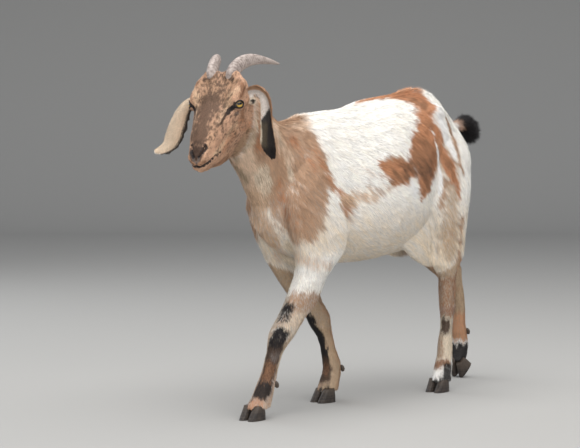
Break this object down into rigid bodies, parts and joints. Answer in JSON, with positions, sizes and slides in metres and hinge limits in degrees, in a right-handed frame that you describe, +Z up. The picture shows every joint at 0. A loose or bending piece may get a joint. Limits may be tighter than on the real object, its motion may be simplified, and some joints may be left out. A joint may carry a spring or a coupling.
{
  "type": "goat",
  "caption": "Young lop-eared dairy goat with short swept-back horns, walking, as a still life-size model in a tan, white and black short coat.",
  "frame": {"origin": "on the floor, below the middle of the overall box", "axes": "-Y is the way the body faces, +X is its left, +Z is up"},
  "size_m": [0.2374, 1.0577, 0.7979],
  "materials": {
    "coat_tan": "short fur, matt",
    "coat_cream": "short fur, matt",
    "coat_black": "long fur, matt",
    "horn": "ringed horn, satin",
    "hoof": "horn, satin",
    "eye": "wet, glossy"
  },
  "bodies": {
    "root": {"dewclaw_fore_left_inner": "hoof", "dewclaw_fore_left_outer": "hoof", "dewclaw_fore_right_inner": "hoof", "dewclaw_fore_right_outer": "hoof", "dewclaw_hind_left_inner": "hoof", "dewclaw_hind_left_outer": "hoof", "dewclaw_hind_right_inner": "hoof", "dewclaw_hind_right_outer": "hoof", "ear_left": "coat_tan", "ear_right": "coat_tan", "eye_left": "eye", "eye_right": "eye", "fore_leg_left": "coat_cream", "fore_leg_right": "coat_tan", "fore_shank_left": "coat_tan", "fore_shank_right": "coat_tan", "head": "coat_tan", "hind_leg_left": "coat_tan", "hind_leg_right": "coat_tan", "hind_shank_left": "coat_tan", "hind_shank_right": "coat_tan", "hoof_fore_left_inner": "hoof", "hoof_fore_left_outer": "hoof", "hoof_fore_right_inner": "hoof", "hoof_fore_right_outer": "hoof", "hoof_hind_left_inner": "hoof", "hoof_hind_left_outer": "hoof", "hoof_hind_right_inner": "hoof", "hoof_hind_right_outer": "hoof", "horn_left": "horn", "horn_right": "horn", "neck": "coat_tan", "tail": "coat_black", "trunk": "coat_cream"}
  },
  "joints": []
}
